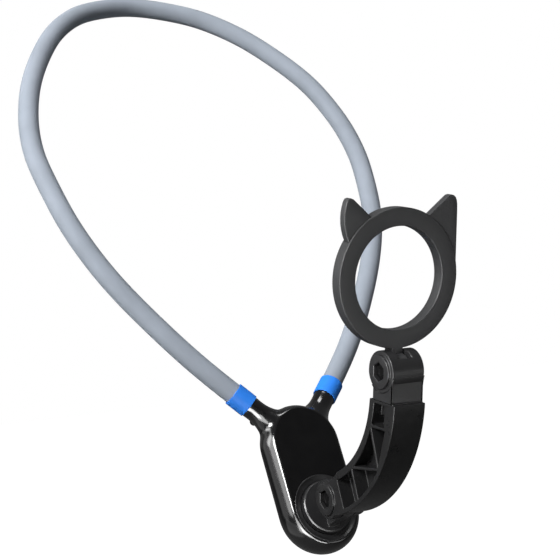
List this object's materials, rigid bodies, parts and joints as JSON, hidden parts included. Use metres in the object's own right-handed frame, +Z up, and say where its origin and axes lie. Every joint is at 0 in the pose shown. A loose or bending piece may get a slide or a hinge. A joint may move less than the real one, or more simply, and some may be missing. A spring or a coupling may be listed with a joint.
{
  "type": "neck phone holder",
  "caption": "Bendable neck loop with a chest hub, a turntable and a curved truss arm that ends in a magnetic phone ring with ears.",
  "frame": {"origin": "tube's centre at the nape, on the loop's middle", "axes": "+Z up as worn, -Y ahead of the wearer, X across, with the holder symmetrical about X = 0 but for its hinge nuts"},
  "size_m": [0.1932, 0.2775, 0.256],
  "materials": {
    "soft_tube": "soft satin skin",
    "wire_steel": "plain bright steel",
    "ferrule_brass": "plain brass",
    "collar_blue": "smooth bright blue",
    "hub_gloss_black": "high gloss",
    "panel_black": "fine matte",
    "trim_black": "satin",
    "screw_steel": "plain steel",
    "arm_black": "fine satin",
    "hinge_screw_black": "blackened",
    "washer_nylon": "natural nylon",
    "ring_grey": "fine matte",
    "magnet_nickel": "nickel plated",
    "pad_rubber": "matte grip surface"
  },
  "bodies": {
    "hub": {"neck_tube": "soft_tube", "core_wire": "wire_steel", "wire_ferrules": "ferrule_brass", "collar_left": "collar_blue", "collar_right": "collar_blue", "hub_front_shell": "hub_gloss_black", "hub_rear_shell": "hub_gloss_black", "front_panel": "panel_black", "bezel_ring": "trim_black", "shell_screws": "screw_steel", "socket_screws": "screw_steel", "spring_washer": "screw_steel"},
    "turntable": {"turntable": "trim_black", "retaining_washer": "screw_steel", "turntable_screw": "screw_steel"},
    "arm": {"arm_frame": "arm_black", "upper_knuckle": "arm_black", "knuckle_pin": "screw_steel", "lower_hinge_screw": "hinge_screw_black", "lower_hinge_nut": "hinge_screw_black", "lower_washers": "washer_nylon", "upper_hinge_screw": "hinge_screw_black", "upper_hinge_nut": "hinge_screw_black", "upper_washers": "washer_nylon"},
    "ring": {"ring_housing": "ring_grey", "steel_ring": "wire_steel", "magnets": "magnet_nickel", "ring_cover": "ring_grey", "face_pad": "pad_rubber"}
  },
  "joints": [
    {"name": "turntable_turn", "type": "hinge", "parent": "hub", "child": "turntable", "pos_m": [0, -0.2099, -0.22867], "axis": [0, -0.8387, 0.5446], "continuous": true},
    {"name": "arm_tilt", "type": "hinge", "parent": "turntable", "child": "arm", "pos_m": [0, -0.22232, -0.22061], "axis": [1, 0, 0], "range_deg": [-30, 45]},
    {"name": "ring_tilt", "type": "hinge", "parent": "arm", "child": "ring", "pos_m": [0, -0.26202, -0.15551], "axis": [1, 0, 0], "range_deg": [-45, 40]}
  ]
}
